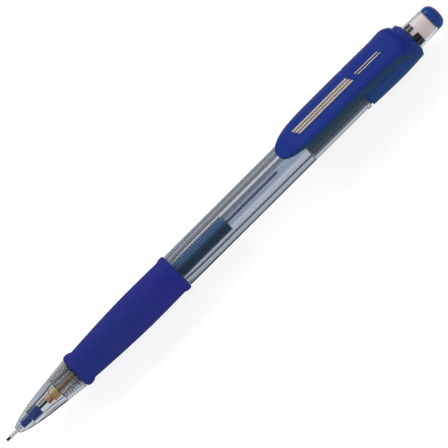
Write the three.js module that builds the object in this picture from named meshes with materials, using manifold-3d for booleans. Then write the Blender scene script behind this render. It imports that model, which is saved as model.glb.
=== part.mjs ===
// Shake-action mechanical pencil: clear barrel and nose, rubber grip, moulded clip, eraser under a cap.
// Millimetres. The writing point is at the origin, +X runs along the axis to the push button, and
// +Z points out through the clip. Every turned part is a closed [x, radius] profile spun about +X.

import * as THREE from "three";
import * as BufferGeometryUtils from "three/addons/utils/BufferGeometryUtils.js";
import Module from "manifold-3d";

const wasm = await Module();
wasm.setup();

// Overall
const LENGTH = 144;
const LEAD_R = 0.35;
const LEAD_LENGTH = 60;
const SLIP = 0.03; // radial gap of a close fit
const RUN = 0.1; // gap between faces that meet end to end
const OUTER_SIDES = 32;
const INNER_SIDES = 24;

// Tip: lead pipe in its carrier, inside the nose cone
const PIPE_FRONT = 1.14;
const PIPE_BACK = 6.9;
const PIPE_R = 0.5;
const PIPE_BORE = LEAD_R + SLIP;
const SLIDER_FRONT = 5.15;
const SLIDER_STEP = 7.98;
const SLIDER_BACK = 11;
const SLIDER_NOSE_R = 0.87;
const SLIDER_R = 1.35;
const SLIDER_POCKET = 8.6;
const SLIDER_POCKET_R = 1;

// Nose cone
const NOSE_FRONT = 3.43;
const NOSE_BACK = 22.6;
const NOSE_FRONT_R = 0.85;
const NOSE_BACK_R = 4.1;
const THREAD_FRONT = 17.25;
const THREAD_CREST = 2.85;
const THREAD_ROOT = 2.98;

// Chuck: three jaws on one shank, a closing ring, a sleeve and a spring
const CHUCK_FRONT = 13.4;
const HEAD_BACK = 14.8;
const TAPER_BACK = 16.8;
const JAW_HINGE = 21;
const CHUCK_BACK = 27.2;
const HEAD_R = 1.1;
const TAPER_R = 0.82;
const SHANK_R = 0.72;
const JAW_SLOT = 0.25;
const JAW_COUNT = 3;
const RING_FRONT = 14.9;
const RING_BACK = 16.9;
const RING_R = 1.5;
const SLEEVE_FRONT = 17;
const SLEEVE_BACK = 31;
const SLEEVE_FLANGE_R = 2.05;
const SLEEVE_R = 1.8;
const SLEEVE_BORE = 1.62;
const SLEEVE_WALL_BACK = 18.2;
const SPRING_TURNS = 8;
const SPRING_R = 1.22;
const SPRING_WIRE_R = 0.12;

// Lead tube and what rides on it
const CONNECTOR_FRONT = 25.2;
const CONNECTOR_STEP = 27.6;
const TUBE_FRONT = 27.7;
const TUBE_BACK = 130.5;
const TUBE_R = 1.48;
const TUBE_BORE = 1.16;
const LEAD_STORE_FRONT = 30.3;
const SPARE_OFFSET = 0.76;
const CUSHION_FRONT = 42.2;
const WEIGHT_FRONT = 43.7;
const WEIGHT_BACK = 73.7;
const WEIGHT_R = 2.3;
const WEIGHT_BORE = 1.72;

// Barrel and grip
const BARREL_R = 4.6;
const BARREL_BORE = 2.85;
const BARREL_BACK = 117.2;
const BARREL_LIP_R = 4.85;
const SOCKET_FRONT = 98.9;
const SOCKET_R = 3.45;
const SPIGOT_FRONT = 17.35;
const GRIP_FRONT = 22.7;
const GRIP_BACK = 56.9;
const GRIP_SEAT_FRONT_R = 3.2;
const GRIP_SEAT_BACK_R = 3.7;

// Clip, its collar and the push button
const PLUG_FRONT = 99.1;
const COLLAR_FRONT = 117.8;
const COLLAR_BACK = 134.5;
const COLLAR_END = 135.15;
const COLLAR_R = 5.2;
const BUTTON_WELL = 124;
const BUTTON_WELL_R = 3.5;
const CLIP_TIP = 92.9;
const CLIP_FULL_WIDTH = 107;
const CLIP_HINGE = 126;
const CLIP_BACK = 133.2;
const CLIP_HALF_WIDTH = 4.35;
const CLIP_TOP = 6.3;
const CLIP_EDGE_Z = 5.6;
const CLIP_FLAT = 2.4;
const CLIP_UNDER_R = 5.4;
const HOLDER_FRONT = 128;
const HOLDER_BACK = 137;
const HOLDER_R = 2.85;
const HOLDER_FLOOR = 130.6;
const ERASER_FRONT = 131.6;
const ERASER_BACK = 140.95;
const ERASER_R = 2.55;
const CAP_FRONT = 130.5;
const CAP_SPLIT = 141.2;
const CAP_R = 3.42;
const CAP_END_R = 3.125;
const CAP_BORE = 2.9;

// ---- geometry helpers ----

// Spins a closed [x, radius] outline about +X: outside from front to back, then inside back again.
function turned(points, sides = INNER_SIDES) {
  const outline = points.map(([x, radius]) => new THREE.Vector2(radius, x));
  if (outline[0].x > 0) outline.push(outline[0].clone());
  return new THREE.LatheGeometry(outline, sides).rotateZ(-Math.PI / 2);
}

// A plain or stepped tube: both profiles are listed from front to back.
function tube(outside, inside, sides) {
  return turned([...outside, ...inside.toReversed()], sides);
}

// A tube of constant wall between two stations.
function ring(front, back, radius, bore, sides) {
  return tube([[front, radius], [back, radius]], [[front, bore], [back, bore]], sides);
}

// A solid rod between two stations.
function rod(front, back, radius, sides) {
  return turned([[front, 0], [front, radius], [back, radius], [back, 0]], sides);
}

// A smooth run of [x, radius] points through the given ones.
function smooth(points, count) {
  const curve = new THREE.SplineCurve(points.map(([x, radius]) => new THREE.Vector2(x, radius)));
  return curve.getPoints(count).map((point) => [point.x, point.y]);
}

function shapeOf(points) {
  return new THREE.Shape(points.map(([a, b]) => new THREE.Vector2(a, b)));
}

// Prism of a (y, z) outline from one x station to another.
function alongX(points, front, back) {
  const geometry = new THREE.ExtrudeGeometry(shapeOf(points), { depth: back - front, bevelEnabled: false });
  const turn = new THREE.Matrix4().makeBasis(
    new THREE.Vector3(0, 1, 0),
    new THREE.Vector3(0, 0, 1),
    new THREE.Vector3(1, 0, 0),
  );
  return geometry.applyMatrix4(turn).translate(front, 0, 0);
}

// Prism of an (x, z) outline across the width.
function acrossY(points, halfWidth) {
  const depth = 2 * halfWidth;
  const geometry = new THREE.ExtrudeGeometry(shapeOf(points), { depth, bevelEnabled: false });
  return geometry.rotateX(Math.PI / 2).translate(0, halfWidth, 0);
}

// Prism of an (x, y) outline between two heights.
function upZ(points, low, high) {
  const geometry = new THREE.ExtrudeGeometry(shapeOf(points), { depth: high - low, bevelEnabled: false });
  return geometry.translate(0, 0, low);
}

function solid(geometry) {
  const bare = geometry.clone();
  bare.deleteAttribute("normal");
  bare.deleteAttribute("uv");
  const merged = BufferGeometryUtils.mergeVertices(bare, 1e-4);
  return new wasm.Manifold(new wasm.Mesh({
    numProp: 3,
    vertProperties: merged.attributes.position.array,
    triVerts: dropCollapsed(merged.index.array),
  }));
}

// Triangles that collapse to a line where a profile meets the axis are left out.
function dropCollapsed(index) {
  const kept = [];
  for (let i = 0; i < index.length; i += 3) {
    const [a, b, c] = index.slice(i, i + 3);
    if (a !== b && b !== c && c !== a) kept.push(a, b, c);
  }
  return new Uint32Array(kept);
}

function geometryOf(manifold) {
  const mesh = manifold.getMesh();
  const geometry = new THREE.BufferGeometry();
  geometry.setAttribute("position", new THREE.BufferAttribute(mesh.vertProperties, 3));
  geometry.setIndex(new THREE.BufferAttribute(mesh.triVerts, 1));
  return geometry;
}

// ---- materials ----

function material(color, roughness, metalness = 0, opacity = 1) {
  return new THREE.MeshStandardMaterial({ color, roughness, metalness, opacity, transparent: opacity < 1 });
}

const clearPlastic = () => material("#c3ccd6", 0.08, 0, 0.35);
const bluePlastic = () => material("#253b86", 0.25);
const bluePart = () => material("#27457e", 0.35);
const gripRubber = () => material("#2c2f82", 0.6);
const softRubber = () => material("#2a2d33", 0.8);
const graphite = () => material("#33363c", 0.45, 0.2);
const steel = () => material("#c9ccd0", 0.2, 1);
const brass = () => material("#c08f55", 0.28, 1);
const coilSteel = () => material("#31465c", 0.35, 0.6);
const tubePlastic = () => material("#d5dde8", 0.3, 0, 0.6);
const darkPlastic = () => material("#1b1d22", 0.4);
const whiteVinyl = () => material("#eee6e1", 0.75);

// ---- tip ----

function writingLead() {
  return rod(0, LEAD_LENGTH, LEAD_R, 12);
}

function spareLead() {
  const geometry = rod(LEAD_STORE_FRONT, LEAD_STORE_FRONT + LEAD_LENGTH, LEAD_R, 12);
  const towards = new THREE.Vector3(0, 0.5, -Math.sqrt(0.75)).multiplyScalar(SPARE_OFFSET);
  return geometry.translate(towards.x, towards.y, towards.z);
}

function tipPipe() {
  return ring(PIPE_FRONT, PIPE_BACK, PIPE_R, PIPE_BORE);
}

function tipSlider() {
  const bevel = 0.15;
  const leadHole = LEAD_R + RUN;
  return tube(
    [
      [SLIDER_FRONT, SLIDER_NOSE_R - bevel],
      [SLIDER_FRONT + bevel, SLIDER_NOSE_R],
      [SLIDER_STEP, SLIDER_NOSE_R],
      [SLIDER_STEP, SLIDER_R],
      [SLIDER_BACK, SLIDER_R],
    ],
    [
      [SLIDER_FRONT, PIPE_R + SLIP],
      [PIPE_BACK + SLIP, PIPE_R + SLIP],
      [PIPE_BACK + SLIP, leadHole],
      [SLIDER_POCKET, leadHole],
      [SLIDER_POCKET, SLIDER_POCKET_R],
      [SLIDER_BACK, SLIDER_POCKET_R],
    ],
  );
}

function leadRetainer() {
  const length = 1.6;
  const front = SLIDER_POCKET + RUN;
  return ring(front, front + length, SLIDER_POCKET_R - SLIP, LEAD_R + SLIP);
}

// The bore steps down around the carrier, and its slow taper ahead of the thread seats the ring.
function noseCone() {
  const flank = smooth(
    [
      [NOSE_FRONT + 0.2, NOSE_FRONT_R + 0.15],
      [5.97, 1.8],
      [10.2, 2.7],
      [15.9, 3.4],
      [NOSE_BACK, NOSE_BACK_R],
    ],
    12,
  );
  const guideR = SLIDER_NOSE_R + 0.08;
  const carrierR = SLIDER_R + 0.07;
  return tube(
    [[NOSE_FRONT, NOSE_FRONT_R - 0.1], ...flank],
    [
      [NOSE_FRONT, PIPE_R + 0.06],
      [SLIDER_FRONT - 0.05, PIPE_R + 0.06],
      [SLIDER_FRONT - 0.05, guideR],
      [SLIDER_STEP - 0.03, guideR],
      [SLIDER_STEP - 0.03, carrierR],
      [11.75, carrierR],
      [11.75, carrierR + 0.05],
      [14.1, RING_R + SLIP],
      [THREAD_FRONT, 2.15],
      [THREAD_FRONT, THREAD_ROOT],
      [NOSE_BACK, THREAD_ROOT],
    ],
    OUTER_SIDES,
  );
}

// ---- chuck ----

// One jaw: a third of the slotted chuck, with its front end as a tapered head.
function chuckJaw(number) {
  const bevel = 0.2;
  const whole = solid(tube(
    [
      [CHUCK_FRONT, HEAD_R - bevel],
      [CHUCK_FRONT + bevel, HEAD_R],
      [HEAD_BACK, HEAD_R],
      [TAPER_BACK, TAPER_R],
      [TAPER_BACK, SHANK_R],
      [JAW_HINGE - SLIP, SHANK_R],
    ],
    [[CHUCK_FRONT, PIPE_BORE], [JAW_HINGE - SLIP, PIPE_BORE]],
  ));
  const reach = 3;
  const apex = JAW_SLOT / 2 / Math.sin(Math.PI / JAW_COUNT);
  const wedge = [[apex, 0]];
  for (const side of [-1, 1]) {
    const angle = side * Math.PI / JAW_COUNT;
    wedge.push([apex + reach * Math.cos(angle), reach * Math.sin(angle)]);
  }
  const sector = alongX(wedge, 0, JAW_HINGE).rotateX(Math.PI / 2 + number * 2 * Math.PI / JAW_COUNT);
  return geometryOf(whole.intersect(solid(sector)));
}

function chuckShank() {
  return ring(JAW_HINGE + SLIP, CHUCK_BACK, SHANK_R, PIPE_BORE);
}

function clutchRing() {
  const bevel = 0.15;
  const wedgeGap = 0.04;
  const outside = [
    [RING_FRONT, RING_R - bevel],
    [RING_FRONT + bevel, RING_R],
    [RING_BACK - bevel, RING_R],
    [RING_BACK, RING_R - bevel],
  ];
  const inside = [[RING_FRONT, HEAD_R + wedgeGap], [RING_BACK, TAPER_R + wedgeGap]];
  return tube(outside, inside);
}

// Its front wall stops the ring and carries the spring.
function chuckSleeve() {
  const flangeBack = 17.9;
  const wallHole = 0.95;
  return tube(
    [
      [SLEEVE_FRONT, SLEEVE_FLANGE_R],
      [flangeBack, SLEEVE_FLANGE_R],
      [flangeBack, SLEEVE_R],
      [SLEEVE_BACK, SLEEVE_R],
    ],
    [
      [SLEEVE_FRONT, wallHole],
      [SLEEVE_WALL_BACK, wallHole],
      [SLEEVE_WALL_BACK, SLEEVE_BORE],
      [SLEEVE_BACK, SLEEVE_BORE],
    ],
  );
}

class Helix extends THREE.Curve {
  constructor(front, back, radius, turns) {
    super();
    Object.assign(this, { front, back, radius, turns });
  }

  getPoint(t, target = new THREE.Vector3()) {
    const angle = 2 * Math.PI * this.turns * t;
    const x = this.front + (this.back - this.front) * t;
    return target.set(x, this.radius * Math.cos(angle), this.radius * Math.sin(angle));
  }
}

function returnSpring() {
  const seat = RUN + SPRING_WIRE_R;
  const path = new Helix(SLEEVE_WALL_BACK + seat, CONNECTOR_FRONT - seat, SPRING_R, SPRING_TURNS);
  const wire = new THREE.Shape().absarc(0, 0, SPRING_WIRE_R, 0, 2 * Math.PI);
  const steps = 12 * SPRING_TURNS;
  return new THREE.ExtrudeGeometry(wire, { steps, curveSegments: 3, extrudePath: path });
}

// ---- lead tube ----

// Joins the chuck's shank to the lead tube, with a funnel that guides the next lead.
function tubeConnector() {
  const backSpigot = LEAD_STORE_FRONT - RUN;
  const shankPocket = CHUCK_BACK + RUN;
  const leadHole = LEAD_R + RUN;
  return tube(
    [
      [CONNECTOR_FRONT, TUBE_R],
      [CONNECTOR_STEP, TUBE_R],
      [CONNECTOR_STEP, TUBE_BORE - SLIP],
      [backSpigot, TUBE_BORE - SLIP],
    ],
    [
      [CONNECTOR_FRONT, SHANK_R + SLIP],
      [shankPocket, SHANK_R + SLIP],
      [shankPocket, leadHole],
      [backSpigot - 1.2, leadHole],
      [backSpigot, TUBE_BORE - 0.2],
    ],
  );
}

function leadTube() {
  return ring(TUBE_FRONT, TUBE_BACK, TUBE_R, TUBE_BORE);
}

function weightCushion() {
  return ring(CUSHION_FRONT, WEIGHT_FRONT - RUN, WEIGHT_R - RUN, TUBE_R + SLIP);
}

function shakerWeight() {
  return ring(WEIGHT_FRONT, WEIGHT_BACK, WEIGHT_R, WEIGHT_BORE);
}

// ---- barrel ----

// A threaded spigot at the front, a seat for the grip, then the clear body with a lip at the back and
// a wider socket behind the bore for the collar's plug.
function barrel() {
  const spigotBore = 2.15;
  const sleeveBore = SLEEVE_R + RUN;
  const sleeveSeat = 17.95;
  const shoulder = NOSE_BACK + 0.03;
  const bodyFront = GRIP_BACK + 0.1;
  return tube(
    [
      [SPIGOT_FRONT, THREAD_CREST - 0.2],
      [SPIGOT_FRONT + 0.2, THREAD_CREST],
      [shoulder, THREAD_CREST],
      [shoulder, GRIP_SEAT_FRONT_R],
      [40, GRIP_SEAT_FRONT_R],
      [54, GRIP_SEAT_BACK_R],
      [bodyFront, GRIP_SEAT_BACK_R],
      [bodyFront, BARREL_R],
      [BARREL_BACK - 1.1, BARREL_R],
      [BARREL_BACK - 1.1, BARREL_LIP_R],
      [BARREL_BACK, BARREL_LIP_R],
    ],
    [
      [SPIGOT_FRONT, spigotBore],
      [sleeveSeat, spigotBore],
      [sleeveSeat, sleeveBore],
      [35.5, sleeveBore],
      [37, 2.5],
      [58.5, 2.5],
      [60, BARREL_BORE],
      [SOCKET_FRONT, BARREL_BORE],
      [SOCKET_FRONT, SOCKET_R],
      [BARREL_BACK, SOCKET_R],
    ],
    OUTER_SIDES,
  );
}

// A rolled bead at each end and a slow swell between them.
function grip() {
  const frontBead = [[22.7, 3.9], [22.95, 4.32], [23.5, 4.6], [24.2, 4.63], [24.9, 4.45], [25.4, 4.14]];
  const swell = smooth([[25.8, 4.12], [34, 4.6], [44, 4.92], [54.8, 4.8]], 6);
  const backBead = [[55.1, 4.98], [55.5, 5.09], [56.4, 5.09], [GRIP_BACK, 4.8]];
  return tube(
    [...frontBead, ...swell, ...backBead],
    [
      [GRIP_FRONT, GRIP_SEAT_FRONT_R + SLIP],
      [40, GRIP_SEAT_FRONT_R + SLIP],
      [54, GRIP_SEAT_BACK_R + SLIP],
      [GRIP_BACK, GRIP_SEAT_BACK_R + SLIP],
    ],
    OUTER_SIDES,
  );
}

// ---- clip ----

// The (y, z) section of the clip: a flat outer face, sloping shoulders and a hollow underside.
function clipSection(underRadius) {
  const shoulder = [(CLIP_FLAT + CLIP_HALF_WIDTH) / 2 + 0.2, CLIP_TOP - 0.25];
  const spread = Math.asin(CLIP_HALF_WIDTH / underRadius);
  const under = [];
  for (let i = 0; i <= 8; i += 1) {
    const angle = spread * (i / 4 - 1);
    under.push([underRadius * Math.sin(angle), underRadius * Math.cos(angle)]);
  }
  return [
    ...under,
    [CLIP_HALF_WIDTH, CLIP_EDGE_Z],
    shoulder,
    [CLIP_FLAT, CLIP_TOP],
    [-CLIP_FLAT, CLIP_TOP],
    [-shoulder[0], shoulder[1]],
    [-CLIP_HALF_WIDTH, CLIP_EDGE_Z],
  ];
}

// The (x, y) outline of the clip: a blunt super-ellipse nose and straight sides.
function clipPlan(back) {
  const bluntness = 2.7;
  const nose = CLIP_FULL_WIDTH - CLIP_TIP;
  const right = [];
  for (let i = 0; i <= 10; i += 1) {
    const angle = (i / 10) * (Math.PI / 2);
    const along = Math.cos(angle) ** (2 / bluntness);
    const aside = Math.sin(angle) ** (2 / bluntness);
    right.push([CLIP_FULL_WIDTH - nose * along, CLIP_HALF_WIDTH * aside]);
  }
  const left = right.slice(1).map(([x, y]) => [x, -y]).toReversed();
  return [...left, ...right, [back, CLIP_HALF_WIDTH], [back, -CLIP_HALF_WIDTH]];
}

// The clip's free tongue, with the foot under its tip that presses on the barrel. Its sides reach down
// round the collar, but stop short ahead of it so that the barrel shows.
function clipTongue() {
  const back = CLIP_HINGE - 0.05;
  const wrapFront = 117.4;
  const sideBase = 4.9;
  const tipTop = [[CLIP_TIP - 1, CLIP_TOP - 0.9], [CLIP_TIP + 1.5, CLIP_TOP - 0.35], [CLIP_TIP + 5, CLIP_TOP]];
  const side = [[CLIP_TIP - 1, 0], [back, 0], [back, CLIP_TOP + 1], [CLIP_TIP + 5, CLIP_TOP + 1]];
  const below = [[CLIP_TIP - 2, 0], [wrapFront, 0], [wrapFront, sideBase], [CLIP_TIP - 2, sideBase]];
  const blade = solid(alongX(clipSection(CLIP_UNDER_R), CLIP_TIP - 1, back))
    .intersect(solid(upZ(clipPlan(back), 0, CLIP_TOP + 1)))
    .intersect(solid(acrossY([...side, ...tipTop.toReversed()], CLIP_HALF_WIDTH + 1)))
    .subtract(solid(acrossY(below, CLIP_HALF_WIDTH + 1)));
  const footTop = CLIP_UNDER_R + 0.2;
  const footBase = BARREL_R + 0.05;
  const foot = acrossY([[94.6, footTop], [95.4, footBase], [97, footBase], [99, footTop]], 1.4);
  return geometryOf(blade.add(solid(foot)));
}

// The block that carries the clip, rounded down to the collar behind.
function clipRoot() {
  const front = CLIP_HINGE + 0.05;
  const roundR = 2;
  const side = [[front, 0], [CLIP_BACK, 0]];
  for (let i = 0; i <= 4; i += 1) {
    const angle = (i / 4) * (Math.PI / 2);
    const x = CLIP_BACK - roundR * (1 - Math.cos(angle));
    side.push([x, CLIP_TOP - roundR * (1 - Math.sin(angle))]);
  }
  side.push([front, CLIP_TOP]);
  return solid(alongX(clipSection(COLLAR_R - 0.8), front, CLIP_BACK))
    .intersect(solid(acrossY(side, CLIP_HALF_WIDTH + 1)));
}

// A plug inside the barrel, a neck, and the collar that guides the push button.
function clipCollar() {
  const plugR = SOCKET_R - 0.05;
  const neckR = 4.4;
  const body = solid(turned(
    [
      [PLUG_FRONT, 0],
      [PLUG_FRONT, plugR - 0.2],
      [PLUG_FRONT + 0.2, plugR],
      [BARREL_BACK + 0.05, plugR],
      [BARREL_BACK + 0.05, neckR],
      [COLLAR_FRONT, neckR],
      [COLLAR_FRONT, 4.95],
      [122, 5.12],
      [126, COLLAR_R],
      [130, 5.16],
      [CLIP_BACK, 4.95],
      [COLLAR_BACK, 4.85],
      [COLLAR_END, BUTTON_WELL_R + 0.25],
      [COLLAR_END, 0],
    ],
    OUTER_SIDES,
  ));
  const past = 1;
  const tubeHole = TUBE_R + 0.3;
  const hollow = solid(turned([
    [PLUG_FRONT - past, 0],
    [PLUG_FRONT - past, tubeHole],
    [BUTTON_WELL, tubeHole],
    [BUTTON_WELL, BUTTON_WELL_R],
    [COLLAR_END + past, BUTTON_WELL_R],
    [COLLAR_END + past, 0],
  ], OUTER_SIDES));
  return geometryOf(body.add(clipRoot()).subtract(hollow));
}

// ---- push button ----

// A cup on the end of the lead tube, with a notched rim round the eraser.
function eraserHolder() {
  const skirtR = 2.2;
  const cupFloor = ERASER_FRONT - RUN;
  const cup = solid(turned([
    [HOLDER_FRONT, TUBE_R + SLIP],
    [HOLDER_FRONT, skirtR],
    [HOLDER_FLOOR, skirtR],
    [HOLDER_FLOOR, HOLDER_R],
    [HOLDER_BACK, HOLDER_R],
    [HOLDER_BACK, ERASER_R + SLIP],
    [cupFloor, ERASER_R + SLIP],
    [cupFloor, 0],
    [HOLDER_FLOOR, 0],
    [HOLDER_FLOOR, TUBE_R + SLIP],
  ]));
  const notchDepth = 1.6;
  const notchHalf = 0.65;
  const notchAngle = THREE.MathUtils.degToRad(16.6);
  const outline = [[-notchHalf, 0], [notchHalf, 0], [notchHalf, 4], [-notchHalf, 4]];
  let notched = cup;
  for (const quarter of [0, 1, 2, 3]) {
    const turn = notchAngle + quarter * Math.PI / 2;
    const notch = alongX(outline, HOLDER_BACK - notchDepth, HOLDER_BACK + 1).rotateX(turn);
    notched = notched.subtract(solid(notch));
  }
  return geometryOf(notched);
}

function eraser() {
  const bevel = 0.25;
  return turned([
    [ERASER_FRONT, 0],
    [ERASER_FRONT, ERASER_R],
    [ERASER_BACK - bevel, ERASER_R],
    [ERASER_BACK, ERASER_R - bevel],
    [ERASER_BACK, 0],
  ]);
}

function capSleeve() {
  const taperFront = 135.3;
  return tube(
    [[CAP_FRONT, CAP_R], [taperFront, CAP_R], [CAP_SPLIT, CAP_END_R]],
    [[CAP_FRONT, CAP_BORE], [CAP_SPLIT, CAP_BORE]],
  );
}

// The blue end of the cap: a shallow spigot, a rounded shoulder and a small flat to press on.
function capCrown() {
  const cornerR = 1.95;
  const flatR = 0.9;
  const crownDrop = 0.12;
  const shoulder = [];
  for (let i = 0; i <= 5; i += 1) {
    const angle = (i / 5) * THREE.MathUtils.degToRad(82);
    const x = LENGTH - crownDrop - cornerR * (1 - Math.sin(angle));
    shoulder.push([x, CAP_END_R - cornerR * (1 - Math.cos(angle))]);
  }
  const face = CAP_SPLIT + 0.05;
  const spigotFront = ERASER_BACK + 0.1;
  const spigotR = CAP_BORE - SLIP;
  return turned([
    [spigotFront, 0],
    [spigotFront, spigotR],
    [face, spigotR],
    [face, CAP_END_R],
    ...shoulder,
    [LENGTH, flatR],
    [LENGTH, 0],
  ], OUTER_SIDES);
}

// ---- assembly ----

const pencil = new THREE.Group();

function place(name, geometry, finish) {
  const mesh = new THREE.Mesh(geometry, finish);
  mesh.name = name;
  pencil.add(mesh);
}

place("writing_lead", writingLead(), graphite());
place("tip_pipe", tipPipe(), steel());
place("tip_slider", tipSlider(), bluePart());
place("lead_retainer", leadRetainer(), softRubber());
place("nose_cone", noseCone(), clearPlastic());
for (let number = 0; number < JAW_COUNT; number += 1) {
  place(`chuck_jaw_${number + 1}`, chuckJaw(number), brass());
}
place("chuck_shank", chuckShank(), brass());
place("clutch_ring", clutchRing(), brass());
place("chuck_sleeve", chuckSleeve(), clearPlastic());
place("return_spring", returnSpring(), steel());
place("tube_connector", tubeConnector(), darkPlastic());
place("lead_tube", leadTube(), tubePlastic());
place("spare_lead", spareLead(), graphite());
place("weight_cushion", weightCushion(), softRubber());
place("shaker_weight", shakerWeight(), coilSteel());
place("barrel", barrel(), clearPlastic());
place("grip", grip(), gripRubber());
place("clip_collar", clipCollar(), bluePlastic());
place("clip", clipTongue(), bluePlastic());
place("eraser_holder", eraserHolder(), darkPlastic());
place("eraser", eraser(), whiteVinyl());
place("cap_sleeve", capSleeve(), clearPlastic());
place("cap_crown", capCrown(), bluePlastic());

export default pencil;
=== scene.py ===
"""Looks of a shake-action mechanical pencil: fine turned surfaces, coils, threads, clip and materials.

Everything is in metres in the CAD frame: the writing point is at the origin, +X runs to the push
button and +Z points out through the clip. MM turns the millimetre sizes below into metres.
"""

import math

import bmesh
import bpy
from mathutils import Matrix, Vector


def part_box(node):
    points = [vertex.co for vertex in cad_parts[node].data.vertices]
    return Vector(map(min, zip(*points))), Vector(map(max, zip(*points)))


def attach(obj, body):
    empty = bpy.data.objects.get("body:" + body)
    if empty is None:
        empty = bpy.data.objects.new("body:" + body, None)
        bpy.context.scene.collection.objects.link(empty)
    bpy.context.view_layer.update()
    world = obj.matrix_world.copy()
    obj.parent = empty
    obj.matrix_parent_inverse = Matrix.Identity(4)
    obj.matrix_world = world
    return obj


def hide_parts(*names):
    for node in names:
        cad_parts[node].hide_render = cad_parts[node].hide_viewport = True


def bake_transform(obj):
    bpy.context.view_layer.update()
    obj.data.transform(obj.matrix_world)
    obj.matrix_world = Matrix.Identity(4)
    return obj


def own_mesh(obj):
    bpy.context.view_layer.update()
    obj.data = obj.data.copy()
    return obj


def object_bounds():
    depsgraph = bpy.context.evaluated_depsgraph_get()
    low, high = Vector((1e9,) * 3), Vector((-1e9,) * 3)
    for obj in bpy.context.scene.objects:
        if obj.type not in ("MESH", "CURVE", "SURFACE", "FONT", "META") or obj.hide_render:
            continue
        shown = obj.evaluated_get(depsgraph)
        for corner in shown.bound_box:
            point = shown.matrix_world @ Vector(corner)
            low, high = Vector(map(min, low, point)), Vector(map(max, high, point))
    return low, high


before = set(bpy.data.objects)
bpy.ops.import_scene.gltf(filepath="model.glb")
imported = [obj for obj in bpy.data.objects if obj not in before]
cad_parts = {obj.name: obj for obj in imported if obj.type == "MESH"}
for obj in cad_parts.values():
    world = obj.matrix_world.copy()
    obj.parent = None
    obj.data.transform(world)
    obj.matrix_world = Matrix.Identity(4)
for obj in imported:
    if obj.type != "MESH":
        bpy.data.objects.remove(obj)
cad_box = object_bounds()

MM = 0.001
LENGTH = 144
SIDES = 96
CREASE = math.radians(24)

THREAD_PITCH = 0.76
NOSE_THREAD_R = 2.98
NOSE_THREAD_DEPTH = 0.03
SPIGOT_R = 2.85
SPIGOT_THREAD_DEPTH = -0.21
COIL_TURNS = 52
SPRING_TURNS = 8

CLIP_TIP = 92.9
CLIP_FULL = 107
CLIP_ROOT = 126
CLIP_HALF = 4.35
CLIP_TOP = 6.3
CLIP_UNDER = 5.4
HOOD_BACK = 133.3
HOOD_ROUND = 2.6
COLLAR_R = 5.2
COLLAR_BACK = 134.5
PLUG_BACK = 117.25

PLASTIC_IOR = 1.5
# Painted shade: the deep, greener colour of the clip's side walls and of the band under the hood's edge.
SIDE_SHADE_DEEP = (18, 57, 101)
# Painted shade: the teal of the collar's lower side.
SIDE_SHADE_TEAL = (18, 62, 126)
# Painted reflection: greyer slate on the plug, where it sits inside the clear barrel.
PLUG_REFLECTION_GREY = (64, 88, 104)

KEY_ANGLE = 52
FILL_ANGLE = -65
FLOOR_GLOW = 0.8
# Painted bands of light and shadow on the floor, seen only through the clear plastic, as places across the
# pencil and how bright each is.
PAINTED_BANDS = [(-5.2, 0.03), (-4.2, 1), (4.2, 1), (5, 0.05), (7.6, 0.05), (8.2, 1), (12, 1), (17, 0.04)]
PAINTED_BANDS_TINT = (0.87, 0.91, 1.0)


# ---- outlines ----


def outline_of(node):
    """The turned CAD node's (x, radius) loop, read where its mesh crosses y = 0 above the axis."""
    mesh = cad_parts[node].data
    spots = {}
    for vertex in mesh.vertices:
        if abs(vertex.co.y) < 1e-6 and vertex.co.z > -1e-6:
            spots[vertex.index] = (round(vertex.co.x / MM, 4), abs(round(vertex.co.z / MM, 4)))
    links = {}
    for edge in mesh.edges:
        a, b = (spots.get(index) for index in edge.vertices)
        if a and b and a != b:
            links.setdefault(a, set()).add(b)
            links.setdefault(b, set()).add(a)
    ends = [spot for spot, near in links.items() if len(near) == 1]
    at = min(ends or links)
    loop, before = [at], None
    while True:
        onward = [spot for spot in sorted(links[at]) if spot != before]
        if not onward or onward[0] == loop[0]:
            return loop
        before, at = at, onward[0]
        loop.append(at)


def turn_at(before, here, after):
    """The angle by which an outline turns at one of its points."""
    first = Vector(here) - Vector(before)
    second = Vector(after) - Vector(here)
    return abs(first.angle_signed(second)) if first.length and second.length else 0.0


def neighbours(points, i):
    """Points before and after one, wrapping round a closed loop; an open one ends on the axis."""
    closed = points[0][1] > 0
    last = len(points) - 1
    before = points[i - 1] if i > 0 or closed else points[i]
    after = points[(i + 1) % len(points)] if i < last or closed else points[i]
    return before, after


def softened(points, radius, steps=4):
    """Rounds the sharp corners of an outline and curves its gentle bends."""
    result = []
    for i, here in enumerate(points):
        before, after = (Vector(p) for p in neighbours(points, i))
        here = Vector(here)
        if here.y < 1e-6 or (here - before).length < 1e-9 or (after - here).length < 1e-9:
            result.append(tuple(here))
            continue
        if turn_at(before, here, after) < CREASE:
            result.extend(gentle(points, i))
            continue
        reach = min(radius, (here - before).length * 0.4, (after - here).length * 0.4)
        start = here + (before - here).normalized() * reach
        end = here + (after - here).normalized() * reach
        for k in range(steps + 1):
            t = k / steps
            result.append(tuple(start * (1 - t) ** 2 + here * 2 * t * (1 - t) + end * t * t))
    return result


def gentle(points, i, steps=3):
    """Samples a smooth curve from one gentle bend half-way to each neighbour."""
    before, after = (Vector(p) for p in neighbours(points, i))
    here = Vector(points[i])
    start, end = (before + here) / 2, (here + after) / 2
    samples = []
    for k in range(steps + 1):
        t = k / steps
        samples.append(tuple(start * (1 - t) ** 2 + here * 2 * t * (1 - t) + end * t * t))
    return samples


def resampled(points, front, back, step):
    """Adds points to the runs of an outline between two stations, no further apart than step."""
    result = []
    for i, here in enumerate(points):
        result.append(here)
        after = neighbours(points, i)[1]
        low, high = sorted((here[0], after[0]))
        if high <= front or low >= back:
            continue
        count = int((Vector(after) - Vector(here)).length / step)
        for k in range(1, count):
            result.append(tuple(Vector(here).lerp(Vector(after), k / count)))
    return result


# ---- meshes ----


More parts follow.
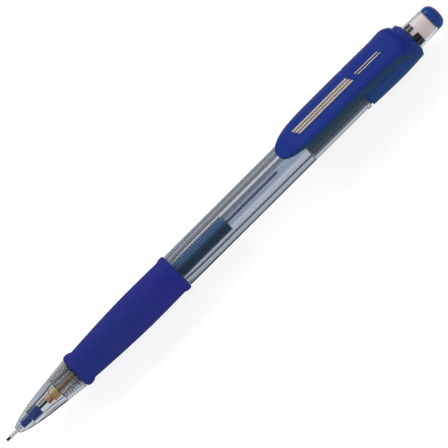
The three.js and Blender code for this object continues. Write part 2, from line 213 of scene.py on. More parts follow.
def finish_mesh(name, bm, smooth_angle=40):
    """A smooth-shaded object, with edges sharper than the angle in degrees kept crisp."""
    bmesh.ops.remove_doubles(bm, verts=bm.verts, dist=1e-8)
    bmesh.ops.recalc_face_normals(bm, faces=bm.faces)
    mesh = bpy.data.meshes.new(name)
    bm.to_mesh(mesh)
    bm.free()
    mesh.shade_smooth()
    mesh.set_sharp_from_angle(angle=math.radians(smooth_angle))
    piece = bpy.data.objects.new(name, mesh)
    bpy.context.scene.collection.objects.link(piece)
    return piece


def spun(name, outline, sides=SIDES, warp=None):
    """A closed solid of revolution about the X axis. warp(x, r, angle) may shift a point."""
    bm = bmesh.new()
    rows = []
    for x, radius in outline:
        if radius < 1e-6:
            rows.append([bm.verts.new((x * MM, 0, 0))] * sides)
            continue
        row = []
        for k in range(sides):
            angle = 2 * math.pi * k / sides
            px, pr = warp(x, radius, angle) if warp else (x, radius)
            row.append(bm.verts.new((px * MM, -pr * MM * math.sin(angle), pr * MM * math.cos(angle))))
        rows.append(row)
    pairs = list(zip(rows, rows[1:]))
    if outline[0][1] > 1e-6:
        pairs.append((rows[-1], rows[0]))
    for first, second in pairs:
        for k in range(sides):
            corners = [first[k], first[(k + 1) % sides], second[(k + 1) % sides], second[k]]
            corners = list(dict.fromkeys(corners))
            if len(corners) > 2:
                bm.faces.new(corners)
    return finish_mesh(name, bm)


def lofted(name, sections, smooth_angle=40):
    """A closed skin through equal-length rings of points in millimetres, capped at both ends."""
    bm = bmesh.new()
    rings = [[bm.verts.new(Vector(point) * MM) for point in section] for section in sections]
    size = len(rings[0])
    for first, second in zip(rings, rings[1:]):
        for k in range(size):
            after = (k + 1) % size
            bm.faces.new([first[k], first[after], second[after], second[k]])
    bm.faces.new(rings[0][::-1])
    bm.faces.new(rings[-1])
    return finish_mesh(name, bm, smooth_angle)


def coiled(name, front, back, radius, wire, turns, per_turn=32, wire_sides=8):
    """A wire wound round the X axis."""
    sections = []
    for k in range(turns * per_turn + 1):
        angle = 2 * math.pi * k / per_turn
        centre = front + wire + (back - front - 2 * wire) * k / (turns * per_turn)
        section = []
        for j in range(wire_sides):
            around = 2 * math.pi * j / wire_sides
            r = radius + wire * math.cos(around)
            section.append((centre + wire * math.sin(around), r * math.cos(angle), r * math.sin(angle)))
        sections.append(section)
    return lofted(name, sections, 80)


def sector(name, outline, middle, slot, columns=14):
    """One jaw of a slotted rod: a turned outline kept clear of the slots on each side of it."""
    bm = bmesh.new()
    rows = []
    for x, radius in outline:
        spread = math.pi / 3 - math.asin(slot / 2 / radius)
        row = []
        for k in range(columns + 1):
            angle = middle + spread * (2 * k / columns - 1)
            row.append(bm.verts.new((x * MM, radius * MM * math.cos(angle), radius * MM * math.sin(angle))))
        rows.append(row)
    for first, second in zip(rows, rows[1:] + rows[:1]):
        for k in range(columns):
            bm.faces.new([first[k], first[k + 1], second[k + 1], second[k]])
    bm.faces.new([row[0] for row in rows])
    bm.faces.new([row[-1] for row in rows][::-1])
    return finish_mesh(name, bm)


def smoothstep(low, high, value):
    """0 at low and beyond, 1 at high and beyond, with a smooth rise between. Either may be the larger."""
    t = max(0.0, min(1.0, (value - low) / (high - low)))
    return t * t * (3 - 2 * t)


# ---- material helpers ----


def new_material(name):
    material = bpy.data.materials.new(name)
    material.use_nodes = True
    nodes = material.node_tree.nodes
    return material, nodes, material.node_tree.links, nodes["Principled BSDF"]


def srgb(r, g, b):
    """Linear colour with alpha from 0-255 display values."""
    def linear(value):
        value /= 255
        return value / 12.92 if value <= 0.04045 else ((value + 0.055) / 1.055) ** 2.4

    return (linear(r), linear(g), linear(b), 1.0)


def coordinates(nodes, links, scale):
    """Object coordinates stretched by a scale for each axis."""
    source = nodes.new("ShaderNodeTexCoord")
    mapping = nodes.new("ShaderNodeMapping")
    mapping.inputs["Scale"].default_value = scale
    links.new(source.outputs["Object"], mapping.inputs["Vector"])
    return mapping.outputs["Vector"]


def noise(nodes, links, scale, detail=3.0, stretch=(1, 1, 1)):
    """A cloudy pattern with so many patches to the metre."""
    texture = nodes.new("ShaderNodeTexNoise")
    texture.inputs["Scale"].default_value = scale
    texture.inputs["Detail"].default_value = detail
    links.new(coordinates(nodes, links, stretch), texture.inputs["Vector"])
    return texture.outputs["Fac"]


def ranged(nodes, links, value, low, high):
    """Maps the middle of a noise value's range to low..high."""
    node = nodes.new("ShaderNodeMapRange")
    node.inputs["From Min"].default_value = 0.35
    node.inputs["From Max"].default_value = 0.65
    node.inputs["To Min"].default_value = low
    node.inputs["To Max"].default_value = high
    links.new(value, node.inputs["Value"])
    return node.outputs["Result"]


def blended_colour(nodes, links, value, low, high):
    node = nodes.new("ShaderNodeMix")
    node.data_type = "RGBA"
    node.inputs["A"].default_value = low
    node.inputs["B"].default_value = high
    links.new(value, node.inputs["Factor"])
    return node.outputs["Result"]


def add_bump(nodes, links, shader, height, strength, distance):
    bump = nodes.new("ShaderNodeBump")
    bump.inputs["Strength"].default_value = strength
    bump.inputs["Distance"].default_value = distance
    links.new(height, bump.inputs["Height"])
    links.new(bump.outputs["Normal"], shader.inputs["Normal"])


def maths(nodes, links, operation, *values):
    """A maths node whose inputs are sockets or numbers."""
    node = nodes.new("ShaderNodeMath")
    node.operation = operation
    for value, socket in zip(values, node.inputs):
        if isinstance(value, bpy.types.NodeSocket):
            links.new(value, socket)
        else:
            socket.default_value = value
    return node.outputs["Value"]


def eased(nodes, links, value, start, end, low=0.0, high=1.0):
    """Turns smoothly from low to high while a value goes from start to end."""
    node = nodes.new("ShaderNodeMapRange")
    node.interpolation_type = "SMOOTHSTEP"
    node.inputs["From Min"].default_value = start
    node.inputs["From Max"].default_value = end
    node.inputs["To Min"].default_value = low
    node.inputs["To Max"].default_value = high
    links.new(value, node.inputs["Value"])
    return node.outputs["Result"]


def place_parts(nodes, links):
    """Object coordinates as separate x, y and z sockets."""
    source = nodes.new("ShaderNodeTexCoord")
    parts = nodes.new("ShaderNodeSeparateXYZ")
    links.new(source.outputs["Object"], parts.inputs["Vector"])
    return parts.outputs["X"], parts.outputs["Y"], parts.outputs["Z"]


def sideways(nodes, links):
    """0 where a surface faces up or down the pencil, rising to 1 where it faces square to one side."""
    source = nodes.new("ShaderNodeNewGeometry")
    parts = nodes.new("ShaderNodeSeparateXYZ")
    links.new(source.outputs["Normal"], parts.inputs["Vector"])
    lean = maths(nodes, links, "ABSOLUTE", parts.outputs["Y"])
    return eased(nodes, links, lean, 0.35, 0.65)


def tinted(material, factor, colour):
    """Blends a material's base colour towards another colour where the factor is 1."""
    nodes, links = material.node_tree.nodes, material.node_tree.links
    socket = nodes["Principled BSDF"].inputs["Base Color"]
    mix = nodes.new("ShaderNodeMix")
    mix.data_type = "RGBA"
    links.new(factor, mix.inputs["Factor"])
    links.new(socket.links[0].from_socket, mix.inputs["A"])
    mix.inputs["B"].default_value = srgb(*colour)
    links.new(mix.outputs["Result"], socket)
    return material


def painted_highlight(material, colour, spread):
    """Paints a highlight: a paler stripe along the top of a turned piece, fading out by so many degrees
    each side.
    """
    nodes, links = material.node_tree.nodes, material.node_tree.links
    y, z = place_parts(nodes, links)[1:]
    around = maths(nodes, links, "ABSOLUTE", maths(nodes, links, "ARCTAN2", y, z))
    edge = math.radians(spread)
    return tinted(material, eased(nodes, links, around, edge, edge / 4), colour)


def opaque(name, low, high, roughness, patch=60, grain=4000, bump=0.08, metallic=0.0, **extra):
    """A moulded or metal surface: two close colours in patches, varied roughness and a fine grain."""
    material, nodes, links, shader = new_material(name)
    patches = ranged(nodes, links, noise(nodes, links, patch), 0, 1)
    links.new(blended_colour(nodes, links, patches, srgb(*low), srgb(*high)), shader.inputs["Base Color"])
    smudge = noise(nodes, links, patch * 5, 5)
    spread = ranged(nodes, links, smudge, roughness * 0.8, roughness * 1.2)
    links.new(spread, shader.inputs["Roughness"])
    add_bump(nodes, links, shader, noise(nodes, links, grain, 2), bump, 0.02 * MM)
    shader.inputs["Metallic"].default_value = metallic
    for key, value in extra.items():
        shader.inputs[key.replace("_", " ")].default_value = value
    return material


def clear(name, tint, absorb, density):
    """Polished plastic that bends light for the eye but lets light straight through to the inside."""
    material, nodes, links, shader = new_material(name)
    flow = ranged(nodes, links, noise(nodes, links, 120, 3, (0.1, 1, 1)), 0, 1)
    paler = [min(1.0, part * 1.03) for part in srgb(*tint)]
    links.new(blended_colour(nodes, links, flow, srgb(*tint), paler), shader.inputs["Base Color"])
    shader.inputs["Transmission Weight"].default_value = 1.0
    shader.inputs["Roughness"].default_value = 0.0
    shader.inputs["IOR"].default_value = PLASTIC_IOR
    path = nodes.new("ShaderNodeLightPath")
    either = maths(nodes, links, "MAXIMUM", path.outputs["Is Shadow Ray"], path.outputs["Is Diffuse Ray"])
    through = nodes.new("ShaderNodeBsdfTransparent")
    through.inputs["Color"].default_value = srgb(*tint)
    mix = nodes.new("ShaderNodeMixShader")
    links.new(either, mix.inputs["Fac"])
    links.new(shader.outputs["BSDF"], mix.inputs[1])
    links.new(through.outputs["BSDF"], mix.inputs[2])
    output = nodes["Material Output"]
    links.new(mix.outputs["Shader"], output.inputs["Surface"])
    volume = nodes.new("ShaderNodeVolumeAbsorption")
    volume.inputs["Color"].default_value = srgb(*absorb)
    volume.inputs["Density"].default_value = density
    links.new(volume.outputs["Volume"], output.inputs["Volume"])
    return material


def cloudy(name, low, high, roughness, through):
    """Thin natural plastic: part of the light goes straight through and the rest scatters."""
    material = opaque(name, low, high, roughness, 200, 3000, 0.05)
    nodes, links = material.node_tree.nodes, material.node_tree.links
    clear_part = nodes.new("ShaderNodeBsdfTransparent")
    clear_part.inputs["Color"].default_value = srgb(249, 251, 254)
    mix = nodes.new("ShaderNodeMixShader")
    mix.inputs["Fac"].default_value = through
    links.new(nodes["Principled BSDF"].outputs["BSDF"], mix.inputs[1])
    links.new(clear_part.outputs["BSDF"], mix.inputs[2])
    links.new(mix.outputs["Shader"], nodes["Material Output"].inputs["Surface"])
    return material


# ---- materials ----


def barrel_clear():
    return clear("barrel_clear", (252, 253, 254), (96, 118, 146), 190)


def nose_clear():
    return clear("nose_clear", (253, 254, 254), (120, 130, 142), 170)


def sleeve_clear():
    return clear("sleeve_clear", (252, 251, 247), (170, 164, 130), 120)


def cap_clear():
    return clear("cap_clear", (253, 253, 254), (140, 142, 168), 130)


def tube_cloudy():
    return cloudy("tube_cloudy", (186, 196, 218), (210, 218, 236), 0.35, 0.84)


def gloss_blue(name):
    return opaque(name, (20, 46, 134), (24, 50, 140), 0.34, 40, 2500, 0.03, Specular_IOR_Level=0.35)


def clip_blue():
    """Gloss blue with painted shade on its side walls, drawn deeper and greener there."""
    material = gloss_blue("clip_blue")
    nodes, links = material.node_tree.nodes, material.node_tree.links
    return tinted(material, sideways(nodes, links), SIDE_SHADE_DEEP)


def collar_blue():
    """The clip's blue over the hood; below the hood's edge, painted shade in a dark band and then a teal
    side; and a painted reflection in greyer slate on the plug.
    """
    material = gloss_blue("collar_blue")
    nodes, links = material.node_tree.nodes, material.node_tree.links
    x, y, z = place_parts(nodes, links)
    around = maths(nodes, links, "ARCTAN2", maths(nodes, links, "ABSOLUTE", y), z)
    edge = eased(nodes, links, x, 129 * MM, 133.5 * MM, math.radians(38), math.radians(64))
    below = maths(nodes, links, "SUBTRACT", around, edge)
    # Painted shade in a band just below the hood's edge.
    tinted(material, eased(nodes, links, below, math.radians(-3), math.radians(3)), SIDE_SHADE_DEEP)
    # Painted shade: teal on the lower side and towards the back, beyond the dark band.
    lower = eased(nodes, links, below, math.radians(12), math.radians(26))
    behind = eased(nodes, links, x, 131 * MM, 132.5 * MM, 0, 0.8)
    shaded_side = maths(nodes, links, "MAXIMUM", lower, behind)
    beyond_edge = eased(nodes, links, below, 0, math.radians(5))
    tinted(material, maths(nodes, links, "MULTIPLY", shaded_side, beyond_edge), SIDE_SHADE_TEAL)
    # Painted reflection: the plug inside the barrel is greyed to slate.
    return tinted(material, maths(nodes, links, "LESS_THAN", x, PLUG_BACK * MM), PLUG_REFLECTION_GREY)


def crown_blue():
    return opaque("crown_blue", (28, 60, 132), (32, 66, 138), 0.13, 60, 2500, 0.02)


def carrier_blue():
    return opaque("carrier_blue", (26, 58, 128), (32, 66, 140), 0.3, 200, 5000, Specular_IOR_Level=0.4)


def grip_rubber():
    return opaque("grip_rubber", (40, 42, 136), (36, 48, 128), 0.66, 45, 5200, 0.3, Specular_IOR_Level=0.2)


def dark_rubber():
    return opaque("dark_rubber", (40, 42, 48), (52, 54, 60), 0.8, 200)


def graphite():
    return opaque("graphite", (52, 55, 60), (72, 75, 80), 0.42, 500, 6000, 0.2, 0.35)


def dark_plastic():
    return opaque("dark_plastic", (22, 24, 28), (34, 36, 42), 0.35, 200)


def white_vinyl():
    return opaque("white_vinyl", (242, 228, 226), (234, 218, 216), 0.7, 300, 3500, 0.2)


def turned_metal(name, low, high, roughness):
    """Bright metal with fine lathe marks round the axis."""
    material = opaque(name, low, high, roughness, 250, 3000, 0.05, 0.4)
    nodes, links = material.node_tree.nodes, material.node_tree.links
    marks = noise(nodes, links, 4000, 2, (1, 0.02, 0.02))
    shader = nodes["Principled BSDF"]
    add_bump(nodes, links, shader, marks, 0.25, 0.01 * MM)
    return material


def brass():
    material = turned_metal("brass", (222, 178, 108), (236, 196, 132), 0.3)
    # Painted highlight: a cream stripe along the top.
    return painted_highlight(material, (255, 238, 200), 26)


def copper_brass():
    material = turned_metal("jaw_brass", (226, 164, 124), (236, 182, 146), 0.32)
    # Painted highlight: a pale stripe along the top.
    return painted_highlight(material, (254, 222, 190), 26)


def pipe_steel():
    return turned_metal("pipe_steel", (226, 226, 224), (240, 240, 238), 0.16)


def spring_wire():
    return turned_metal("spring_wire", (170, 174, 180), (200, 204, 210), 0.25)


def coil_wire():
    """Dark blue coated wire with a painted highlight, a paler stripe along the top of the coil."""
    dark, darker = (74, 112, 148), (64, 100, 132)
    material = opaque("coil_wire", dark, darker, 0.24, 300, 3000, 0.05, 0.45, Coat_Weight=0.6)
    return painted_highlight(material, (122, 168, 216), 36)


def gold_foil():
    return opaque("gold_foil", (226, 208, 168), (240, 226, 194), 0.4, 400, 4000, 0.15, 0.5)


# ---- threads ----


def thread_shape(x, angle):
    """A rounded thread, 0 on its crest and 1 at its root, one turn to each pitch."""
    return 0.5 - 0.5 * math.cos(2 * math.pi * x / THREAD_PITCH + angle)


def thread_warp(front, back, surface, depth):
    """Moves the outline's points that lie at one radius by up to depth, outwards if it is above 0."""
    def warp(x, radius, angle):
        if abs(radius - surface) > 0.03 or not front <= x <= back:
            return x, radius
        fade = smoothstep(front, front + 0.4, x) * smoothstep(back, back - 0.3, x)
        return x, radius + depth * fade * thread_shape(x, angle)

    return warp


# ---- pieces ----


def dressed(piece, material, node=None):
    """Gives a piece its material, and hides the CAD node it stands for."""
    piece.data.materials.clear()
    piece.data.materials.append(material)
    if node:
        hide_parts(node)


def put(piece, body, material, node=None):
    """Dresses a piece and lets it move with a body."""
    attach(piece, body)
    dressed(piece, material, node)


def plain_turned(node, body, material, fillet=0.08, sides=SIDES):
    """A finer copy of a turned CAD node, with its edges broken."""
    outline = softened(outline_of(node), fillet)
    put(spun(node + "_fine", outline, sides), body, material, node)


def threaded(node, fillet, front, back, surface, depth):
    """A turned piece with a thread along one of its cylinders."""
    outline = softened(outline_of(node), fillet)
    outline = resampled(outline, front, back, THREAD_PITCH / 12)
    return spun(node + "_fine", outline, SIDES, thread_warp(front, back, surface, depth))


def make_nose():
    piece = threaded("nose_cone", 0.12, 17.3, 22.5, NOSE_THREAD_R, NOSE_THREAD_DEPTH)
    put(piece, "nose", nose_clear(), "nose_cone")


def make_barrel():
    piece = threaded("barrel", 0.15, 17.5, 22.5, SPIGOT_R, SPIGOT_THREAD_DEPTH)
    put(piece, "barrel", barrel_clear(), "barrel")


def make_weight():
    """A coil so closely wound that its turns almost touch."""
    low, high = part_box("shaker_weight")
    closeness = 0.98
    wire = (high.x - low.x) / MM / COIL_TURNS / 2 * closeness
    coil = coiled("shaker_weight_coil", low.x / MM, high.x / MM, high.z / MM - wire, wire, COIL_TURNS, 48)
    put(coil, "weight", coil_wire(), "shaker_weight")


def make_spring():
    """The open return spring, which gets shorter as the button goes in."""
    low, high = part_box("return_spring")
    wire = 0.12
    spring = coiled("return_spring_coil", low.x / MM, high.x / MM, high.z / MM - wire, wire, SPRING_TURNS)
    put(spring, "barrel", spring_wire(), "return_spring")
    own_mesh(spring)


def make_jaws():
    """Three brass fingers with heads that taper towards the slots' roots."""
    front, head, taper, back = 13.4, 14.8, 16.8, 20.97
    head_r, taper_r, shank_r, bore_r = 1.1, 0.82, 0.72, 0.38
    slot_width = 0.25
    outline = softened(
        [(front, head_r - 0.2), (front + 0.2, head_r), (head, head_r), (taper, taper_r),
         (taper + 0.05, shank_r), (back, shank_r), (back, bore_r), (front, bore_r)],
        0.06,
    )
    material = copper_brass()
    for number in range(3):
        middle = math.radians(90 + 120 * number)
        jaw = sector(f"chuck_jaw_{number + 1}_fine", outline, middle, slot_width)
        put(jaw, f"jaw_{number + 1}", material, f"chuck_jaw_{number + 1}")


def make_spare_lead():
    """A loose lead lying against the tube's bore, off the axis."""
    low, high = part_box("spare_lead")
    radius = (high.y - low.y) / 2 / MM
    front, back = low.x / MM, high.x / MM
    outline = softened([(front, 0), (front, radius), (back, radius), (back, 0)], 0.06)
    piece = spun("spare_lead_fine", outline, 32)
    piece.data.transform(Matrix.Translation((0, (low.y + high.y) / 2, (low.z + high.z) / 2)))
    put(piece, "spare", graphite(), "spare_lead")


def make_holder():
    """The cup round the eraser, with four notches in its rim."""
    skirt, socket, shoulder, seat, back = 128, 130.7, 130.6, 131.5, 137
    tube_r, skirt_r, bore, wall = 1.51, 2.2, 2.58, 2.85
    notch_front = back - 1.6
    notch_half = math.degrees(0.65 / 2.7)
    notch_middle = 16.6
    flatness = 0.02

    def warp(x, radius, angle):
        off = (math.degrees(angle) - notch_middle + 45) % 90 - 45
        if abs(off) < notch_half and x > notch_front:
            return notch_front + (x - notch_front) * flatness, radius
        return x, radius

    outline = softened(
        [(socket, 0), (socket, tube_r), (skirt, tube_r), (skirt, skirt_r), (shoulder, skirt_r),
         (shoulder, wall), (back, wall), (back, bore), (seat, bore), (seat, 0)],
        0.06,
    )
    piece = spun("eraser_holder_fine", outline, 120, warp)
    put(piece, "eraser", dark_plastic(), "eraser_holder")


# ---- clip ----


def hood_flare(x):
    """0 along the clip, rising to 1 where the hood meets the collar's back."""
    return smoothstep(CLIP_ROOT + 1, HOOD_BACK - 0.5, x)


def clip_half_width(x):
    """Half the clip's width: a blunt super-ellipse nose, straight sides, then the hood's slow flare."""
    bluntness = 2.7
    if x >= CLIP_FULL:
        return CLIP_HALF + (COLLAR_R - CLIP_HALF) * hood_flare(x)
    along = (CLIP_FULL - x) / (CLIP_FULL - CLIP_TIP)
    return CLIP_HALF * max(0.0, 1 - along ** bluntness) ** (1 / bluntness)


def clip_top(x):
    """Height of the clip's outer face, which drops at the tip and dips a little to the root."""
    tip_drop = 1 - smoothstep(CLIP_TIP - 2, CLIP_TIP + 6, x)
    dip = 0.15 * smoothstep(116, CLIP_ROOT, x)
    return CLIP_TOP - tip_drop - dip


def clip_radius(x, angle, half):
    """Distance from the axis to the clip's outer skin, at an angle from the crest of the clip."""
    sharpness = 12 - 8.5 * hood_flare(x)
    side = half / max(abs(math.sin(angle)), 1e-6)
    top = clip_top(x) / max(math.cos(angle), 1e-6)
    return (side ** -sharpness + top ** -sharpness) ** (-1 / sharpness)


def clip_section(x):
    """Ring of points round the clip: a shallow underside that hugs the collar, and a flat outer face."""
    under_steps, skin_steps = 14, 40
    half = clip_half_width(x)
    drop = CLIP_TOP - clip_top(x) if x < CLIP_FULL else 0.0
    hug = smoothstep(116.6, 118.2, x)
    points = []
    for k in range(under_steps + 1):
        y = half * (1 - 2 * k / under_steps)
        shallow = CLIP_UNDER - 0.2 * (y / CLIP_HALF) ** 2
        hugging = math.sqrt(CLIP_UNDER ** 2 - y * y)
        points.append((x, y, shallow + (hugging - shallow) * hug - 0.6 * drop))
    spread = math.atan2(half, points[0][2])
    for k in range(1, skin_steps):
        angle = spread * (2 * k / skin_steps - 1)
        radius = clip_radius(x, angle, half)
        points.append((x, radius * math.sin(angle), radius * math.cos(angle)))
    return points


def make_clip(blue):
    """The tongue, with its stations closest together at the blunt tip."""
    tip_steps, root_steps = 26, 24
    rounding, straight = CLIP_FULL - CLIP_TIP, CLIP_ROOT - CLIP_FULL
    stations = [CLIP_TIP + 0.01 + rounding * (k / tip_steps) ** 2 for k in range(tip_steps + 1)]
    stations += [CLIP_FULL + straight * k / root_steps for k in range(1, root_steps + 1)]
    piece = lofted("clip_tongue", [clip_section(x) for x in stations], 35)
    dressed(piece, blue, "clip")
    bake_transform(piece)


def make_clip_foot(blue):
    """The rounded ridge under the clip's tip that presses on the barrel."""
    front, back, half = 94.6, 99.0, 1.4
    low, high = 4.66, 5.35
    steps = 16
    sections = []
    for k in range(1, steps):
        x = front + (back - front) * k / steps
        swell = math.sin(math.pi * k / steps) ** 0.6
        floor = high - (high - low) * swell
        ring = [(x, half, high), (x, half, floor + 0.1), (x, half * 0.8, floor)]
        sections.append(ring + [(x, -y, z) for x, y, z in reversed(ring)])
    piece = lofted("clip_foot", sections)
    put(piece, "clip", blue)


def make_collar():
    """The plug, the neck and the collar, which swells into a hood at the root of the clip."""
    hood_side, hood_end = math.radians(80), math.radians(100)
    skin = 4.5

    def warp(x, radius, angle):
        off = (angle + math.pi) % (2 * math.pi) - math.pi
        if radius < skin or not CLIP_ROOT <= x < HOOD_BACK or abs(off) > hood_end:
            return x, radius
        blend = 40 - 24 * smoothstep(CLIP_ROOT + 1, HOOD_BACK - 1, x)
        hood = clip_radius(x, off, clip_half_width(x))
        joined = (radius ** blend + hood ** blend) ** (1 / blend)
        fade = smoothstep(hood_end, hood_side, abs(off))
        into_round = max(0.0, x - HOOD_BACK + HOOD_ROUND) / HOOD_ROUND
        return x, radius + (joined - radius) * fade * math.sqrt(1 - into_round ** 2)

    plug, neck, rim, bore, well = 3.4, 4.4, 3.75, 1.78, 3.5
    front, step, well_front, back = 99.1, 117.8, 124, 135.15
    outline = softened([
        (front, bore), (front, plug - 0.2), (front + 0.2, plug), (PLUG_BACK, plug), (PLUG_BACK, neck),
        (step, neck), (step, 4.95), (122, 5.12), (CLIP_ROOT, COLLAR_R), (CLIP_ROOT + 0.02, COLLAR_R),
        (130, 5.16), (HOOD_BACK, 4.95), (COLLAR_BACK, 4.85), (back, rim), (back, well),
        (well_front, well), (well_front, bore),
    ], 0.18)
    outline = resampled(outline, CLIP_ROOT, COLLAR_BACK, 0.2)
    piece = spun("clip_collar_fine", outline, 144, warp)
    put(piece, "barrel", collar_blue(), "clip_collar")


def make_stripes():
    """A plain foil decoration: three bars along the clip and two thin ones by its root."""
    foil = gold_foil()
    lean, raised, sunk, steps = 0.35, 0.03, 0.05, 24
    bars = [(99.2, 117, 1.1, 0.24), (99.6, 117.4, 0.35, 0.24), (100, 117.8, -0.4, 0.24)]
    bars += [(119.2, 126.6, 0.45, 0.12), (119.6, 127, -0.25, 0.12)]
    for number, (front, back, middle, half) in enumerate(bars):
        low, high = middle - half, middle + half
        sections = []
        for k in range(steps + 1):
            x = front + (back - front) * k / steps
            top, bottom = clip_top(x) + raised, clip_top(x) - sunk
            slant = x + lean
            sections.append([(x, high, bottom), (x, high, top), (slant, low, top), (slant, low, bottom)])
        bar = lofted(f"clip_foil_bar_{number + 1}", sections)
        dressed(bar, foil)
        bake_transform(bar)


def make_pieces():
    make_nose()
    make_barrel()
    make_weight()
    make_spring()
    make_jaws()
    make_spare_lead()
    make_holder()
    blue = clip_blue()
    make_clip(blue)
    make_clip_foot(blue)
    make_collar()
    make_stripes()
    plain_turned("grip", "barrel", grip_rubber(), 0.3)
    plain_turned("tip_pipe", "tip", pipe_steel(), 0.04, 48)
    plain_turned("tip_slider", "tip", carrier_blue(), 0.08, 64)
    plain_turned("lead_retainer", "tip", dark_rubber(), 0.08, 48)
    plain_turned("writing_lead", "lead", graphite(), 0.1, 32)
    plain_turned("chuck_shank", "chuck", brass(), 0.05, 48)
    plain_turned("clutch_ring", "clutch", brass(), 0.08, 64)
    plain_turned("chuck_sleeve", "barrel", sleeve_clear(), 0.08, 64)
    plain_turned("tube_connector", "chuck", dark_plastic(), 0.08, 48)
    plain_turned("lead_tube", "chuck", tube_cloudy(), 0.06, 64)
    plain_turned("weight_cushion", "chuck", dark_rubber(), 0.2, 64)
    plain_turned("eraser", "eraser", white_vinyl(), 0.15, 64)
    plain_turned("cap_sleeve", "cap", cap_clear(), 0.1)
    plain_turned("cap_crown", "cap", crown_blue(), 0.12)


# ---- stage ----


def ray_mix(nodes, links, ray, usual, special):
    """A colour or value that changes for one kind of ray."""
    path = nodes.new("ShaderNodeLightPath")
    mix = nodes.new("ShaderNodeMix")
    mix.data_type = "RGBA"
    links.new(path.outputs[ray], mix.inputs["Factor"])
    for value, socket in ((usual, mix.inputs["A"]), (special, mix.inputs["B"])):
        if isinstance(value, bpy.types.NodeSocket):
            links.new(value, socket)
        else:
            socket.default_value = (value, value, value, 1)
    return mix.outputs["Result"]


def painted_floor_bands(nodes, links):
    """Painted light and shadow on the floor, shown only to the clear plastic: bright bands under the
    pencil, dark to both sides.
    """
    y = place_parts(nodes, links)[1]
    near, far = PAINTED_BANDS[0][0], PAINTED_BANDS[-1][0]
    across = nodes.new("ShaderNodeMapRange")
    across.inputs["From Min"].default_value = near * MM
    across.inputs["From Max"].default_value = far * MM
    links.new(y, across.inputs["Value"])
    ramp = nodes.new("ShaderNodeValToRGB")
    stops = ramp.color_ramp.elements
    for place, level in PAINTED_BANDS[1:-1]:
        stops.new((place - near) / (far - near))
    for stop, (place, level) in zip(stops, PAINTED_BANDS):
        stop.color = [FLOOR_GLOW * level * part for part in PAINTED_BANDS_TINT] + [1]
    links.new(across.outputs["Result"], ramp.inputs["Fac"])
    return ramp.outputs["Color"]


def make_floor():
    """A pale floor, lit from within so that shadows stay faint."""
    bpy.ops.mesh.primitive_plane_add(size=12, location=(70 * MM, 0, cad_box[0].z))
    floor = bpy.context.object
    floor.name = "floor"
    material, nodes, links, shader = new_material("floor_white")
    shader.inputs["Base Color"].default_value = (0.3, 0.3, 0.3, 1)
    shader.inputs["Roughness"].default_value = 1.0
    shader.inputs["Specular IOR Level"].default_value = 0.0
    glow = ray_mix(nodes, links, "Is Glossy Ray", FLOOR_GLOW, 0.1)
    # Painted bands of light and shadow, seen only through the clear plastic.
    glow = ray_mix(nodes, links, "Is Transmission Ray", glow, painted_floor_bands(nodes, links))
    glow = ray_mix(nodes, links, "Is Diffuse Ray", glow, 0.2)
    links.new(glow, shader.inputs["Emission Color"])
    shader.inputs["Emission Strength"].default_value = 1.0
    floor.data.materials.append(material)


def soft_box(nodes, links, source):
    """1 within a few degrees of the key light's direction, fading to 0: the highlight on gloss."""
    tilt = math.radians(KEY_ANGLE)
    towards = nodes.new("ShaderNodeVectorMath")
    towards.operation = "DOT_PRODUCT"
    towards.inputs[1].default_value = (0, math.sin(tilt), math.cos(tilt))
    links.new(source.outputs["Generated"], towards.inputs[0])
    outer, inner = math.cos(math.radians(20)), math.cos(math.radians(8))
    return eased(nodes, links, towards.outputs["Value"], outer, inner)


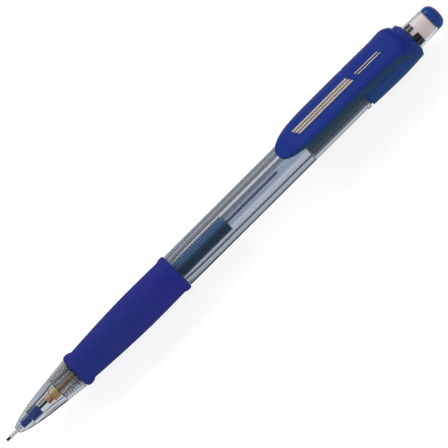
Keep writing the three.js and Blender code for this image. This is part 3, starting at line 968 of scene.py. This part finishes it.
def make_world():
    """A dim room: dark near the horizon, softer overhead, and plain white to the camera."""
    world = bpy.data.worlds.new("studio")
    bpy.context.scene.world = world
    world.use_nodes = True
    nodes, links = world.node_tree.nodes, world.node_tree.links
    background = nodes["Background"]
    source = nodes.new("ShaderNodeTexCoord")
    parts = nodes.new("ShaderNodeSeparateXYZ")
    links.new(source.outputs["Generated"], parts.inputs["Vector"])
    ramp = nodes.new("ShaderNodeValToRGB")
    horizon, overhead = ramp.color_ramp.elements
    horizon.position = 0.05
    horizon.color = (0.012, 0.015, 0.02, 1)
    overhead.position = 0.9
    overhead.color = (0.2, 0.21, 0.23, 1)
    links.new(parts.outputs["Z"], ramp.inputs["Fac"])
    patch = blended_colour(nodes, links, soft_box(nodes, links, source), (0, 0, 0, 1), (1.4, 1.4, 1.4, 1))
    sky = nodes.new("ShaderNodeVectorMath")
    sky.operation = "ADD"
    links.new(ramp.outputs["Color"], sky.inputs[0])
    links.new(patch, sky.inputs[1])
    colour = ray_mix(nodes, links, "Is Diffuse Ray", sky.outputs["Vector"], 0.4)
    colour = ray_mix(nodes, links, "Is Camera Ray", colour, 0.95)
    links.new(colour, background.inputs["Color"])


def add_light(name, angle, distance, size, power, colour=(1, 1, 1)):
    """A soft box beside the pencil, turned by an angle from overhead towards +Y."""
    data = bpy.data.lights.new(name, "AREA")
    data.shape = "RECTANGLE"
    data.size, data.size_y = size
    data.energy = power
    data.color = colour
    light = bpy.data.objects.new(name, data)
    bpy.context.scene.collection.objects.link(light)
    tilt = math.radians(angle)
    middle = Vector((LENGTH / 2 * MM, 0, 0))
    light.location = middle + distance * Vector((0, math.sin(tilt), math.cos(tilt)))
    light.rotation_euler = (-tilt, 0, 0)
    light.visible_glossy = False
    light.visible_transmission = False


def make_lights():
    distance, size = 0.6, (0.5, 0.3)
    add_light("key", KEY_ANGLE, distance, size, 2.3)
    add_light("fill", FILL_ANGLE, distance, size, 1.4, (0.92, 1, 0.96))


def make_camera():
    """Looks square to the pencil's length, 60 degrees up from the side, rolled so the tip is lower left."""
    roll = math.radians(44.87)
    elevation = math.radians(60)
    width = 106.1 * MM
    distance = 1.2
    back = Vector((0, -math.cos(elevation), math.sin(elevation)))
    aside = Vector((0, math.sin(elevation), math.cos(elevation)))
    along = Vector((1, 0, 0))
    right = along * math.cos(roll) - aside * math.sin(roll)
    up = along * math.sin(roll) + aside * math.cos(roll)
    data = bpy.data.cameras.new("camera")
    data.sensor_width = 36
    data.lens = data.sensor_width * distance / width
    data.clip_start, data.clip_end = 0.01, 50
    camera = bpy.data.objects.new("camera", data)
    bpy.context.scene.collection.objects.link(camera)
    target = Vector((72.6 * MM, 0, 0)) + aside * 0.1 * MM
    rotation = Matrix((right, up, back)).transposed()
    camera.matrix_world = Matrix.Translation(target + back * distance) @ rotation.to_4x4()
    bpy.context.scene.camera = camera


def set_view():
    scene = bpy.context.scene
    scene.view_settings.view_transform = "Standard"
    scene.cycles.max_bounces = 24
    scene.cycles.transmission_bounces = 20
    scene.cycles.transparent_max_bounces = 24
    scene.cycles.use_denoising = True


make_pieces()
make_floor()
make_world()
make_lights()
make_camera()
set_view()
